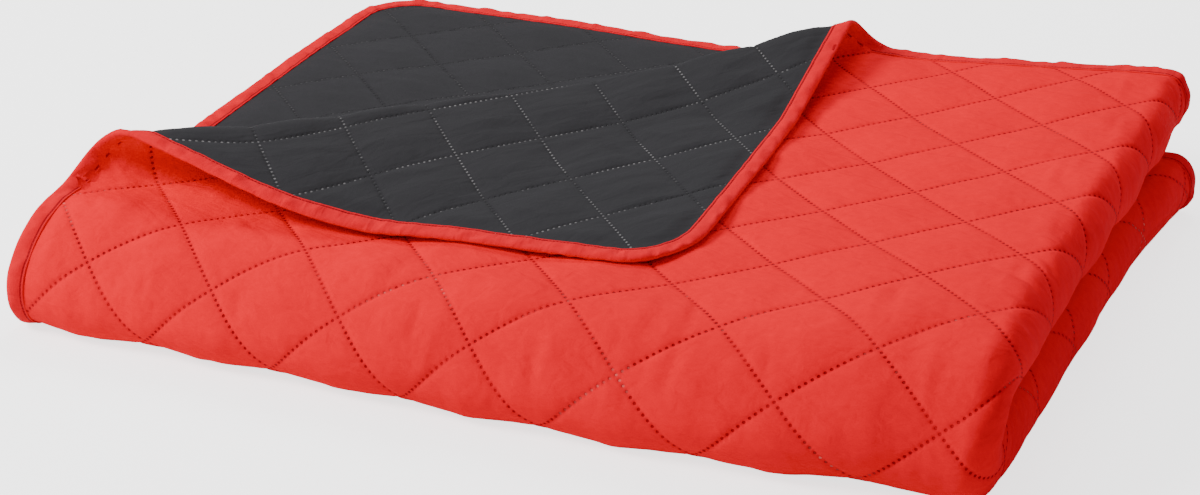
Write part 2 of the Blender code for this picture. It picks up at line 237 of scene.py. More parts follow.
def foldCloth(u, v):
    sine, cosine = math.sin(roll["angle"]), math.cos(roll["angle"])
    along, reach = rollPlace(u, v)
    line = foldPacket(u + reach * sine, v - reach * cosine)
    across, up = rollSection(reach, along)
    x = line[..., 0] - across * sine
    y = line[..., 1] + across * cosine
    corner = np.stack([x, y, topHeight(x, y) + up], -1)
    return np.where((reach > 0)[..., None], corner, line) - centre


def softNoise(x, y, seed):
    # Smooth random hills of -1 to 1, about one to each unit of x and y
    size = 211
    lattice = np.random.RandomState(seed).rand(size, size) * 2 - 1
    ix, iy = np.floor(x).astype(int), np.floor(y).astype(int)
    fx, fy = softStep(x - ix), softStep(y - iy)
    low = lattice[ix % size, iy % size] * (1 - fx) + lattice[(ix + 1) % size, iy % size] * fx
    high = lattice[ix % size, (iy + 1) % size] * (1 - fx) + lattice[(ix + 1) % size, (iy + 1) % size] * fx
    return low * (1 - fy) + high * fy


sway = {
    "broad": 0.0016,  # height of the slow waves in the laid cloth
    "broadLength": 0.14,
    "small": 0.0009,
    "smallLength": 0.055,
    "floorFade": 0.17,
    "flapShare": 0.45,
    "flapBlend": 0.08,
}


def swayHeight(u, v):
    waves = softNoise(u / sway["broadLength"], v / sway["broadLength"], 3) * sway["broad"]
    waves = waves + softNoise(u / sway["smallLength"], v / sway["smallLength"], 4) * sway["small"]
    onFloor = 1 - softStep((v - frontFold["bendStartV"]) / sway["floorFade"])
    waves = waves * (1 - onFloor * (1 - innerShare(u)))
    along, reach = rollPlace(u, v)
    return waves * (1 - (1 - sway["flapShare"]) * softStep(reach / sway["flapBlend"]))


def directions(surface, u, v):
    step = 0.0006
    alongU = surface(u + step, v) - surface(u - step, v)
    alongV = surface(u, v + step) - surface(u, v - step)
    normals = np.cross(alongU, alongV)
    return normals / np.linalg.norm(normals, axis=-1, keepdims=True)


def clothMiddle(u, v):
    return foldCloth(u, v) + directions(foldCloth, u, v) * swayHeight(u, v)[..., None]


# Fine relief of the panels: puckers beside the welds, ripples that the folds pull, and creases listed one by
# one
relief = {
    "pucker": 0.00085,  # heights, and lengths along the line and away from it
    "puckerLength": 0.0085,
    "puckerReach": 0.014,
    "puckerStart": 0.0025,  # flat this near the weld itself
    "ripple": 0.00085,  # on the top and on the hanging front fold
    "pullAlong": 0.060,  # lengths of the top's ripples, which run across the pull of the fold
    "pullSlant": 0.050,
    "pullAcross": 0.0125,
    "hangAcross": 0.014,
    "hangAlong": 0.070,
    "levelFrom": 0.74,  # along v, where hanging cloth turns into level cloth
    "levelBlend": 0.12,
    "sideRipple": 0.00110,  # on the side fold
    "gatherAcross": 0.0075,
    "gatherSlant": 0.090,
    "gatherAlong": 0.045,
    "sideFrom": 0.70,
    "sideTo": 0.86,
    "sideBlend": 0.04,
    "flapRipple": 0.00085,  # on the rolled flap
    "flapAlong": 0.075,
    "flapSlant": 0.080,
    "flapAcross": 0.0125,
    "flapBlend": 0.03,
    "pressedFrom": 0.36,  # along v, where the front fold presses the inner layers flat
    "pressedTo": 0.96,
    "pressedBlend": 0.06,
    "restingFrom": 0.49,  # along v, where the cloth leaves the floor
    "restingBlend": 0.12,
}
creases = {  # from u and v, to u and v, width, height
    "faceRows": (  # those of the front fold, then of the side fold, the top's right and the roll's mouth
        (0.354, 0.684, 0.360, 0.640, 0.0037, -0.0015),
        (0.375, 0.656, 0.373, 0.618, 0.0032, 0.0012),
        (0.456, 0.672, 0.462, 0.626, 0.0034, -0.0017),
        (0.463, 0.682, 0.473, 0.650, 0.0030, 0.0010),
        (0.440, 0.642, 0.429, 0.604, 0.0034, -0.0014),
        (0.555, 0.692, 0.556, 0.638, 0.0037, -0.0017),
        (0.542, 0.682, 0.546, 0.641, 0.0032, 0.0012),
        (0.675, 0.825, 0.684, 0.752, 0.0044, -0.0020),
        (0.665, 0.799, 0.672, 0.736, 0.0039, 0.0014),
        (0.545, 0.756, 0.558, 0.692, 0.0039, -0.0017),
        (0.510, 0.698, 0.515, 0.654, 0.0032, -0.0012),
        (0.618, 0.704, 0.622, 0.655, 0.0034, -0.0015),
        (0.288, 0.678, 0.294, 0.637, 0.0032, -0.0012),
        (0.204, 0.668, 0.209, 0.629, 0.0034, -0.0012),
        (0.120, 0.662, 0.126, 0.626, 0.0032, -0.0010),
        (0.632, 0.715, 0.654, 0.736, 0.0034, -0.0014),
        (0.778, 0.670, 0.780, 0.618, 0.0034, -0.0015),
        (0.757, 0.676, 0.758, 0.636, 0.0030, -0.0012),
        (0.744, 0.896, 0.788, 0.850, 0.0046, -0.0022),
        (0.752, 0.930, 0.796, 0.905, 0.0039, -0.0015),
        (0.742, 0.842, 0.784, 0.812, 0.0039, -0.0015),
        (0.748, 0.782, 0.788, 0.764, 0.0034, -0.0014),
        (0.688, 1.061, 0.734, 1.092, 0.0046, -0.0020),
        (0.640, 0.968, 0.700, 0.986, 0.0046, -0.0014),
        (0.003, 0.772, 0.044, 0.748, 0.0055, -0.0024),
        (0.040, 0.744, 0.066, 0.768, 0.0046, 0.0017),
        (0.002, 0.791, 0.030, 0.783, 0.0046, -0.0019),
        (0.030, 0.720, 0.052, 0.702, 0.0041, -0.0017),
        (0.010, 0.700, 0.040, 0.690, 0.0041, 0.0014),
    ),
    "backRows": (  # those of the rolled flap, then of the layer behind it
        (0.104, 1.088, 0.085, 1.168, 0.0046, -0.0017),
        (0.190, 1.155, 0.177, 1.224, 0.0044, -0.0017),
        (0.107, 1.008, 0.105, 1.064, 0.0041, -0.0014),
        (0.273, 1.210, 0.271, 1.266, 0.0041, -0.0015),
        (0.060, 1.120, 0.052, 1.176, 0.0041, 0.0012),
        (0.150, 1.240, 0.136, 1.286, 0.0041, -0.0014),
        (0.230, 1.180, 0.222, 1.232, 0.0039, 0.0012),
        (1.544, 1.052, 1.504, 1.104, 0.0046, -0.0017),
    ),
}


def lineShares(u, v):
    # 0 on a welded line and 1 midway to the next, for the rising and the falling lines
    x, y = (u - gridU) / halfDiagonal, (v - gridV) / halfDiagonal
    return np.abs((x - y + 1) % 2 - 1), np.abs((x + y + 1) % 2 - 1), x, y


def puckers(share, line, along, seed):
    distance = share * quilt["square"] / 2
    near = np.exp(-distance / relief["puckerReach"]) * (1 - np.exp(-distance / relief["puckerStart"]))
    return softNoise(along / relief["puckerLength"], line * 3.7 + distance / 0.02, seed) * near


def rimDistance(u, v):
    # How far a place lies inside the cloth's outline, with its round corners
    radius = quilt["cornerRadius"]
    fromU = np.minimum(u, quilt["width"] - u)
    fromV = np.minimum(v, quilt["length"] - v)
    inCorner = (fromU < radius) & (fromV < radius)
    return np.where(inCorner, radius - np.hypot(radius - fromU, radius - fromV), np.minimum(fromU, fromV))


def handCreases(u, v, side):
    height = np.zeros_like(u)
    for fromU, fromV, toU, toV, width, rise in creases["faceRows" if side > 0 else "backRows"]:
        runU, runV = toU - fromU, toV - fromV
        length = math.hypot(runU, runV)
        part = ((u - fromU) * runU + (v - fromV) * runV) / length**2
        off = ((u - fromU) * runV - (v - fromV) * runU) / length
        off = off + 0.12 * length * part * (1 - part)  # a slight bow
        ends = softStep(part / 0.35) * softStep((1 - part) / 0.35)
        height = height + rise * np.exp(-(off / width) ** 2) * ends
    return height


def panelRise(u, v, side):
    rising, falling, x, y = lineShares(u, v)
    pillow = np.power(rising * falling, quilt["puffShape"])
    seed = 20 if side > 0 else 40
    along = (x + y) / 2 * quilt["square"], (x - y) / 2 * quilt["square"]
    fine = puckers(rising, np.round((x - y) / 2), along[0], seed)
    fine = fine + puckers(falling, np.round((x + y) / 2), along[1], seed + 1)
    fine = fine * relief["pucker"]
    level = softStep((v - relief["levelFrom"]) / relief["levelBlend"])
    slanted = u / relief["pullAlong"] + v / relief["pullSlant"]
    pulled = softNoise(slanted, v / relief["pullAcross"], seed + 2) * level
    hanging = softNoise(u / relief["hangAcross"], v / relief["hangAlong"], seed + 3) * (1 - level)
    ripples = (pulled + hanging) * relief["ripple"]
    beside = softStep((u - relief["sideFrom"]) / relief["sideBlend"])
    beside = beside * softStep((relief["sideTo"] - u) / relief["sideBlend"])
    slanted = u / relief["gatherAcross"] + v / relief["gatherSlant"]
    gathered = softNoise(slanted, v / relief["gatherAlong"], seed + 4)
    ripples = ripples + beside * relief["sideRipple"] * gathered
    rollAlong, reach = rollPlace(u, v)
    flap = softStep(reach / relief["flapBlend"])
    slanted = rollAlong / relief["flapAlong"] + reach / relief["flapSlant"]
    rolled = softNoise(slanted, reach / relief["flapAcross"], seed + 5)
    ripples = ripples * (1 - flap) + rolled * relief["flapRipple"] * flap
    openEdge = softStep((rimDistance(u, v) - quilt["borderWidth"]) / quilt["borderFade"])
    pressed = softStep((v - relief["pressedFrom"]) / relief["pressedBlend"])
    pressed = pressed * softStep((relief["pressedTo"] - v) / relief["pressedBlend"]) * innerShare(u)
    onFloor = 1 - softStep((v - relief["restingFrom"]) / relief["restingBlend"])
    resting = 1 - quilt["pressedShare"] * onFloor * (1 - innerShare(u))
    rise = (quilt["puff"] * pillow + (fine + ripples) * np.power(pillow, 0.7)) * resting
    rise = rise + handCreases(u, v, side) * np.power(pillow, 0.5)
    return rise * openEdge * (1 - pressed)


def addPiece(name, points, faces, finish):
    mesh = bpy.data.meshes.new(name)
    mesh.from_pydata(points.tolist(), [], faces)
    mesh.materials.append(finish)
    mesh.shade_smooth()
    piece = bpy.data.objects.new(name, mesh)
    bpy.context.scene.collection.objects.link(piece)
    return piece


def setMap(piece, name, places):
    layer = piece.data.uv_layers.new(name=name)
    corners = np.empty(len(piece.data.loops), dtype=np.int32)
    piece.data.loops.foreach_get("vertex_index", corners)
    layer.uv.foreach_set("vector", places[corners].astype(np.float32).ravel())


# Panels: a fine outer sheet where it shows, coarser where it is hidden, and a coarse inner one that closes it
panelMesh = {
    "shownCells": 16,  # to half a diagonal
    "hiddenCells": 4,
    "floorCells": 5,
    "shownTo": 0.865,  # along u
    "shownFrom": 0.40,  # along v
    "innerStep": 4,
    "rim": 0.0024,  # how far the panels end inside the binding's edge
}


def gridPlaces(length, zero, spacings):
    # Places along one side, on the quilting's own grid, so that mesh lines run through every crossing
    places = [panelMesh["rim"], 0.010, quilt["borderWidth"]]
    last = length - quilt["borderWidth"]
    place = zero - math.ceil(zero / halfDiagonal) * halfDiagonal
    while place < last - 0.002:
        cells = next(cells for until, cells in spacings if place < until)
        if place > places[-1] + 0.002:
            places.append(place)
        place = round((place - zero) / halfDiagonal * cells + 1) / cells * halfDiagonal + zero
    return np.array(places + [last, length - 0.010, length - panelMesh["rim"]])


def panelFaces(us, vs):
    nu, nv = len(us), len(vs)
    faces = []
    middleU, middleV = (us[1:] + us[:-1]) / 2, (vs[1:] + vs[:-1]) / 2
    rising, falling, _, _ = lineShares(*np.meshgrid(middleU, middleV, indexing="ij"))
    for i in range(nu - 1):
        for j in range(nv - 1):
            a, d = i * nv + j, i * nv + j + 1
            b, c = a + nv, d + nv
            if rising[i, j] < falling[i, j]:
                faces += [(a, b, c), (a, c, d)]
            else:
                faces += [(a, b, d), (b, c, d)]
    return faces


def rimNodes(rows, columns, nv):
    # Node numbers round a grid's rim, anticlockwise from its first corner
    last, top = rows[-1], columns[-1]
    rim = [row * nv + columns[0] for row in rows[:-1]]
    rim += [last * nv + column for column in columns[:-1]]
    rim += [row * nv + top for row in reversed(rows[1:])]
    return rim + [rows[0] * nv + column for column in reversed(columns[1:])]


def makePanel(name, side, finish):
    us = gridPlaces(quilt["width"], gridU, ((panelMesh["shownTo"], panelMesh["shownCells"]),
                                            (9, panelMesh["hiddenCells"])))
    vs = gridPlaces(quilt["length"], gridV, ((panelMesh["shownFrom"], panelMesh["floorCells"]),
                                             (9, panelMesh["shownCells"])))
    step = panelMesh["innerStep"]
    coarseRows = sorted(set(range(0, len(us), step)) | {len(us) - 1})
    coarseColumns = sorted(set(range(0, len(vs), step)) | {len(vs) - 1})
    u, v = (grid.ravel() for grid in np.meshgrid(us, vs, indexing="ij"))
    u, v = roundCorners(u, v)
    middle = clothMiddle(u, v)
    normals = directions(clothMiddle, u, v) * side
    outside = middle + normals * (quilt["halfGap"] + quilt["welded"] + panelRise(u, v, side))[:, None]
    outside[:, 2] = np.maximum(outside[:, 2], 0)
    inside = middle + normals * quilt["halfGap"]
    nv, count = len(vs), len(outside)
    kept = [row * nv + column for row in coarseRows for column in coarseColumns]
    number = {node: count + k for k, node in enumerate(kept)}
    faces = panelFaces(us, vs)
    for i in range(len(coarseRows) - 1):
        for j in range(len(coarseColumns) - 1):
            a, d = coarseRows[i] * nv + coarseColumns[j], coarseRows[i] * nv + coarseColumns[j + 1]
            b, c = coarseRows[i + 1] * nv + coarseColumns[j], coarseRows[i + 1] * nv + coarseColumns[j + 1]
            faces += [(number[d], number[c], number[b]), (number[d], number[b], number[a])]
    coarseRim = rimNodes(coarseRows, coarseColumns, nv)
    fineRim = rimNodes(list(range(len(us))), list(range(nv)), nv)
    position = {node: k for k, node in enumerate(fineRim)}
    for k, start in enumerate(coarseRim):
        stop = coarseRim[(k + 1) % len(coarseRim)]
        first = position[start]
        run = (position[stop] - first) % len(fineRim)
        half = run // 2
        for m in range(run):
            below = number[start] if m < half else number[stop]
            here, there = fineRim[(first + m) % len(fineRim)], fineRim[(first + m + 1) % len(fineRim)]
            faces.append((below, there, here))
        faces.append((number[start], number[stop], fineRim[(first + half) % len(fineRim)]))
    if side < 0:
        faces = [face[::-1] for face in faces]
    piece = addPiece(name, np.concatenate([outside, inside[kept]]), faces, finish)
    plan = np.stack([u, v], 1)
    plan = np.concatenate([plan, plan[kept]])
    setMap(piece, "clothPlan", plan)
    layout = plan / quilt["width"]
    layout[count:, 1] = 0.83 + 0.16 * plan[count:, 1] / quilt["length"]
    setMap(piece, "OFBake", layout)
    print(name, len(piece.data.polygons), "triangles")
    return piece


# Binding: a folded tape with a soft crown, sewn down near its inner edge
binding = {
    "station": 0.0032,
    "outerRows": (  # depth and height, from the inner edge to the rim
        (0.0172, 0.00140),
        (0.0171, 0.00200),
        (0.0165, 0.00232),
        (0.0156, 0.00226),
        (0.0148, 0.00188),
        (0.0140, 0.00222),
        (0.0122, 0.00272),
        (0.0098, 0.00302),
        (0.0072, 0.00312),
        (0.0050, 0.00300),
        (0.0032, 0.00266),
        (0.0017, 0.00208),
        (0.0006, 0.00124),
    ),
    "innerRows": (  # the hidden side of the tape, from the rim inwards
        (0.0019, 0.00141),
        (0.0100, 0.00141),
        (0.0168, 0.00138),
    ),
    "seamDepth": 0.0148,
    "pucker": 0.00140,
    "puckerLength": 0.0085,
    "wobble": 0.0005,
    "wobbleLength": 0.045,
}


def edgeStations():
    # Places round the cloth's outline, anticlockwise, each with the way in and the length so far
    radius, width, length = quilt["cornerRadius"], quilt["width"], quilt["length"]
    runs = ((width - 2 * radius, (radius, 0), 0), (length - 2 * radius, (width, radius), 90),
            (width - 2 * radius, (width - radius, length), 180),
            (length - 2 * radius, (0, length - radius), 270))
    rows = []
    travelled = 0
    for run, (u, v), heading in runs:
        turn = math.radians(heading)
        ahead = np.array((math.cos(turn), math.sin(turn)))
        inward = np.array((-math.sin(turn), math.cos(turn)))
        steps = round(run / binding["station"])
        for k in range(steps):
            place = np.array((u, v)) + ahead * run * k / steps
            rows.append((*place, *inward, travelled + run * k / steps))
        travelled += run
        hub = np.array((u, v)) + ahead * run + inward * radius
        arc = radius * math.pi / 2
        steps = round(arc / binding["station"])
        for k in range(steps):
            angle = turn + math.pi / 2 * k / steps
            out = np.array((math.sin(angle), -math.cos(angle)))
            rows.append((*(hub + out * radius), *(-out), travelled + arc * k / steps))
        travelled += arc
    return np.array(rows)


def edgePoints(stations, depth, height):
    u = stations[:, 0] + stations[:, 2] * depth
    v = stations[:, 1] + stations[:, 3] * depth
    return clothMiddle(u, v) + directions(clothMiddle, u, v) * np.reshape(height, (-1, 1))


def makeBinding(name, finish):
    stations = edgeStations()
    travelled = stations[:, 4]
    upper = list(binding["outerRows"])
    section = [(depth, height, 1) for depth, height in upper] + [(0.0, 0.0, 1)]
    section += [(depth, -height, 1) for depth, height in reversed(upper)]
    inner = list(binding["innerRows"])
    section += [(depth, -height, 0) for depth, height in reversed(inner)]
    section += [(depth, height, 0) for depth, height in inner]
    rings, plan = [], []
    reached = 0.0
    for k, (depth, height, shows) in enumerate(section):
        free = shows * softStep((0.0150 - depth) / 0.006)
        seed = 60 if height > 0 else 61
        pucker = softNoise(travelled / binding["puckerLength"], depth / 0.011 + travelled / 0.03, seed)
        fullest = softStep(0.15 + depth / 0.006)
        swell = pucker * binding["pucker"] * (free + 0.30 * shows) * np.sign(height) * fullest
        drift = softNoise(travelled / binding["wobbleLength"], travelled * 0, 62) * binding["wobble"] * free
        rings.append(edgePoints(stations, depth + drift, height + swell))
        if k:
            reached += math.hypot(depth - section[k - 1][0], height - section[k - 1][1])
        plan.append(np.stack([travelled, np.full_like(travelled, reached)], 1))
    points = np.stack(rings, 1)
    points[..., 2] = np.maximum(points[..., 2], 0)
    size, count = len(section), len(stations)
    faces = []
    for k in range(count):
        here, there = k * size, (k + 1) % count * size
        for j in range(size):
            following = (j + 1) % size
            faces.append((here + j, here + following, there + following, there + j))
    piece = addPiece(name, points.reshape(-1, 3), faces, finish)
    plan = np.stack(plan, 1).reshape(-1, 2)
    setMap(piece, "clothPlan", plan)
    print(name, len(piece.data.polygons), "faces")
    return piece


# Seam thread: one short raised stitch after another, on both sides of the binding
thread = {
    "pitch": 0.0032,
    "stitch": 0.0024,
    "thick": 0.00020,
    "lift": 0.00210,
    "nudge": 0.0005,  # a step beside the seam, to find the way across it
    "sides": 4,
}


def makeThread(name, finish):
    stations = edgeStations()
    count = len(stations)
    points, faces = [], []
    for side in (1, -1):
        raised = np.full(count, side * thread["lift"])
        sunk = np.full(count, side * (thread["lift"] - thread["thick"]))
        seat = edgePoints(stations, binding["seamDepth"], raised)
        low = edgePoints(stations, binding["seamDepth"], sunk)
        across = edgePoints(stations, binding["seamDepth"] + thread["nudge"], raised) - seat
        across = across / np.linalg.norm(across, axis=1, keepdims=True)
        ahead = np.roll(seat, -1, 0) - seat
        share = thread["stitch"] / thread["pitch"]
        up = (seat - low) / np.linalg.norm(seat - low, axis=1, keepdims=True)
        for k in range(count):
            base = len(points)
            first, last = low[k], low[k] + ahead[k] * share
            points.append(first)
            for part in (0.25, 0.75):
                hub = seat[k] + ahead[k] * share * part
                for m in range(thread["sides"]):
                    turn = 2 * math.pi * m / thread["sides"]
                    spoke = across[k] * math.cos(turn) + up[k] * math.sin(turn)
                    points.append(hub + spoke * thread["thick"])
            points.append(last)
            for m in range(thread["sides"]):
                n = (m + 1) % thread["sides"]
                a, b = base + 1 + m, base + 1 + n
                c, d = a + thread["sides"], b + thread["sides"]
                stitch = [(base, b, a), (a, b, d, c), (c, d, base + 1 + 2 * thread["sides"])]
                faces += stitch if side > 0 else [face[::-1] for face in stitch]
    points = np.array(points)
    points[:, 2] = np.maximum(points[:, 2], 0)
    piece = addPiece(name, points, faces, finish)
    print(name, len(piece.data.polygons), "faces")
    return piece


def newGroup(name, inputs, outputs):
    group = bpy.data.node_groups.new(name, "ShaderNodeTree")
    for socket, kind, value in inputs:
        made = group.interface.new_socket(socket, in_out="INPUT", socket_type=kind)
        if value is not None:
            made.default_value = value
    for socket, kind in outputs:
        group.interface.new_socket(socket, in_out="OUTPUT", socket_type=kind)
    start = group.nodes.new("NodeGroupInput")
    end = group.nodes.new("NodeGroupOutput")
    return group, start, end


def link(tree, source, target):
    tree.links.new(source, target)


def maths(tree, operation, first, second=None, third=None):
    node = tree.nodes.new("ShaderNodeMath")
    node.operation = operation
    for k, value in enumerate((first, second, third)):
        if value is None:
            continue
        if isinstance(value, (int, float)):
            node.inputs[k].default_value = value
        else:
            link(tree, value, node.inputs[k])
    return node.outputs[0]


def ramped(tree, value, low, high, start=0.0, stop=1.0):
    node = tree.nodes.new("ShaderNodeMapRange")
    node.interpolation_type = "SMOOTHSTEP"
    link(tree, value, node.inputs["Value"])
    for socket, amount in (("From Min", low), ("From Max", high), ("To Min", start), ("To Max", stop)):
        if isinstance(amount, (int, float)):
            node.inputs[socket].default_value = amount
        else:
            link(tree, amount, node.inputs[socket])
    return node.outputs["Result"]


def mixColour(tree, share, first, second, kind="MIX"):
    node = tree.nodes.new("ShaderNodeMix")
    node.data_type = "RGBA"
    node.blend_type = kind
    for socket, value in ((node.inputs[0], share), (node.inputs[6], first), (node.inputs[7], second)):
        if isinstance(value, (int, float)):
            socket.default_value = value
        elif isinstance(value, tuple):
            socket.default_value = (*value, 1)
        else:
            link(tree, value, socket)
    return node.outputs[2]


def noise(tree, vector, scale, detail=2.0, roughness=0.5, distortion=0.0):
    node = tree.nodes.new("ShaderNodeTexNoise")
    link(tree, vector, node.inputs["Vector"])
    node.inputs["Scale"].default_value = scale
    node.inputs["Detail"].default_value = detail
    node.inputs["Roughness"].default_value = roughness
    node.inputs["Distortion"].default_value = distortion
    return node.outputs["Fac"]


def weldDotsGroup():
    # Round marks along both families of quilted lines, with a soft mask along the line itself for painted
    # shade in its groove
    group, start, end = newGroup(
        "Weld Dots",
        (("Plan", "NodeSocketVector", None), ("Square", "NodeSocketFloat", quilt["square"]),
         ("Dots per Side", "NodeSocketFloat", 16.0), ("Dot Radius", "NodeSocketFloat", 0.00125)),
        (("Dots", "NodeSocketFloat"), ("Line", "NodeSocketFloat"), ("Luck", "NodeSocketFloat"),
         ("Relief", "NodeSocketFloat")))
    place = group.nodes.new("ShaderNodeSeparateXYZ")
    link(group, start.outputs["Plan"], place.inputs[0])
    u = maths(group, "SUBTRACT", place.outputs[0], gridU)
    v = maths(group, "SUBTRACT", place.outputs[1], gridV)
    turned = math.sqrt(0.5)
    square, dots, radius = (start.outputs[name] for name in ("Square", "Dots per Side", "Dot Radius"))
    s = maths(group, "DIVIDE", maths(group, "MULTIPLY", maths(group, "SUBTRACT", u, v), turned), square)
    t = maths(group, "DIVIDE", maths(group, "MULTIPLY", maths(group, "ADD", u, v), turned), square)
    pitch = maths(group, "DIVIDE", square, dots)
    distances, lines, lucks = [], [], []
    for across, along in ((s, t), (t, s)):
        index = maths(group, "ROUND", across)
        off = maths(group, "MULTIPLY", maths(group, "SUBTRACT", across, index), square)
        counted = maths(group, "MULTIPLY", along, dots)
        number = maths(group, "ROUND", counted)
        ahead = maths(group, "MULTIPLY", maths(group, "SUBTRACT", counted, number), pitch)
        offSquared = maths(group, "MULTIPLY", off, off)
        aheadSquared = maths(group, "MULTIPLY", ahead, ahead)
        distances.append(maths(group, "SQRT", maths(group, "ADD", offSquared, aheadSquared)))
        lines.append(maths(group, "ABSOLUTE", off))
        pair = group.nodes.new("ShaderNodeCombineXYZ")
        link(group, index, pair.inputs[0])
        link(group, number, pair.inputs[1])
        white = group.nodes.new("ShaderNodeTexWhiteNoise")
        white.noise_dimensions = "3D"
        pair.inputs[2].default_value = len(lucks) * 7.0
        link(group, pair.outputs[0], white.inputs["Vector"])
        lucks.append(white.outputs["Value"])
    nearest = maths(group, "MINIMUM", *distances)
    line = maths(group, "MINIMUM", *lines)
    firstIsNear = maths(group, "LESS_THAN", distances[0], distances[1])
    luck = maths(group, "ADD", maths(group, "MULTIPLY", lucks[0], firstIsNear),
                 maths(group, "MULTIPLY", lucks[1], maths(group, "SUBTRACT", 1.0, firstIsNear)))
    wide = maths(group, "MULTIPLY", radius, 1.15)
    narrow = maths(group, "MULTIPLY", radius, 0.60)
    dot = ramped(group, nearest, narrow, wide, 1.0, 0.0)
    rimMark = ramped(group, nearest, wide, maths(group, "MULTIPLY", radius, 2.2), 0.0, 1.0)
    # Mask for painted shade in the welded line's groove
    seam = ramped(group, line, 0.0004, 0.0034, 1.0, 0.0)
    height = maths(group, "SUBTRACT", maths(group, "MULTIPLY", rimMark, 0.25), dot)
    link(group, dot, end.inputs["Dots"])
    link(group, seam, end.inputs["Line"])
    link(group, luck, end.inputs["Luck"])
    link(group, height, end.inputs["Relief"])
    return group


def fineWeaveGroup():
    # Threads over and under each other, with a little unevenness
    group, start, end = newGroup(
        "Fine Weave",
        (("Plan", "NodeSocketVector", None), ("Thread", "NodeSocketFloat", 0.0006),
         ("Unevenness", "NodeSocketFloat", 0.5)),
        (("Height", "NodeSocketFloat"), ("Shade", "NodeSocketFloat")))
    place = group.nodes.new("ShaderNodeSeparateXYZ")
    link(group, start.outputs["Plan"], place.inputs[0])
    wide = maths(group, "MULTIPLY", start.outputs["Thread"], 2.0)
    waves = []
    for axis in (0, 1):
        turns = maths(group, "DIVIDE", place.outputs[axis], wide)
        waves.append(maths(group, "SINE", maths(group, "MULTIPLY", turns, 2 * math.pi)))
    woven = maths(group, "MULTIPLY", waves[0], waves[1])
    fuzz = noise(group, start.outputs["Plan"], 900.0, 3.0, 0.6)
    slub = noise(group, start.outputs["Plan"], 160.0, 2.0, 0.5)
    mixed = maths(group, "ADD", maths(group, "MULTIPLY", woven, 0.25), maths(group, "MULTIPLY", fuzz, 0.9))
    height = maths(group, "ADD", mixed, maths(group, "MULTIPLY", slub, start.outputs["Unevenness"]))
    shade = maths(group, "ADD", maths(group, "MULTIPLY", fuzz, 0.5), maths(group, "MULTIPLY", slub, 0.5))
    link(group, height, end.inputs["Height"])
    link(group, shade, end.inputs["Shade"])
    return group


def handlingGroup():
    # Soft crumpling that is too fine for the mesh, and slow patches of tone
    group, start, end = newGroup(
        "Handling Marks",
        (("Plan", "NodeSocketVector", None), ("Turn", "NodeSocketFloat", 0.0),
         ("Stretch", "NodeSocketFloat", 5.0)),
        (("Crumple", "NodeSocketFloat"), ("Patches", "NodeSocketFloat")))
    turned = group.nodes.new("ShaderNodeVectorRotate")
    turned.rotation_type = "Z_AXIS"
    link(group, start.outputs["Plan"], turned.inputs["Vector"])
    link(group, start.outputs["Turn"], turned.inputs["Angle"])
    place = group.nodes.new("ShaderNodeSeparateXYZ")
    link(group, turned.outputs[0], place.inputs[0])
    drawn = group.nodes.new("ShaderNodeCombineXYZ")
    link(group, place.outputs[0], drawn.inputs[0])
    link(group, maths(group, "MULTIPLY", place.outputs[1], start.outputs["Stretch"]), drawn.inputs[1])
    long = noise(group, drawn.outputs[0], 24.0, 2.0, 0.50, 0.5)
    short = noise(group, start.outputs["Plan"], 70.0, 2.0, 0.5, 0.8)
    crumple = maths(group, "ADD", maths(group, "MULTIPLY", long, 0.7), maths(group, "MULTIPLY", short, 0.3))
    patches = noise(group, start.outputs["Plan"], 9.0, 2.0, 0.5)
    link(group, crumple, end.inputs["Crumple"])
    link(group, patches, end.inputs["Patches"])
    return group


weldDots = weldDotsGroup()
fineWeave = fineWeaveGroup()
handling = handlingGroup()


def placeGroup(tree, group, vector, values=()):
    node = tree.nodes.new("ShaderNodeGroup")
    node.node_tree = group
    link(tree, vector, node.inputs["Plan"])
    for name, value in values:
        node.inputs[name].default_value = value
    return node.outputs


def bumped(tree, height, distance, strength, normal=None):
    node = tree.nodes.new("ShaderNodeBump")
    node.inputs["Strength"].default_value = strength
    node.inputs["Distance"].default_value = distance
    link(tree, height, node.inputs["Height"])
    if normal is not None:
        link(tree, normal, node.inputs["Normal"])
    return node.outputs["Normal"]


def newMaterial(name, settings):
    finish = bpy.data.materials.new(name)
    finish.use_nodes = True
    tree = finish.node_tree
    shader = tree.nodes["Principled BSDF"]
    shader.inputs["Specular IOR Level"].default_value = settings["gloss"]
    shader.inputs["Sheen Weight"].default_value = settings["sheen"]
    shader.inputs["Sheen Roughness"].default_value = settings["sheenRoughness"]
    shader.inputs["Sheen Tint"].default_value = (*settings["sheenTint"], 1)
    return finish, tree, shader


def clothPlan(tree):
    plan = tree.nodes.new("ShaderNodeUVMap")
    plan.uv_map = "clothPlan"
    return plan.outputs["UV"]


def toned(tree, colour, tone, amount):
    # Lightens and darkens a colour a little by a tone of 0 to 1
    swing = tree.nodes.new("ShaderNodeMapRange")
    link(tree, tone, swing.inputs["Value"])
    swing.inputs["From Min"].default_value = 0.25
    swing.inputs["From Max"].default_value = 0.75
    swing.inputs["To Min"].default_value = 1 - amount
    swing.inputs["To Max"].default_value = 1 + amount
    node = tree.nodes.new("ShaderNodeVectorMath")
    node.operation = "SCALE"
    if isinstance(colour, tuple):
        node.inputs[0].default_value = colour
    else:
        link(tree, colour, node.inputs[0])
    link(tree, swing.outputs["Result"], node.inputs["Scale"])
    return node.outputs[0]


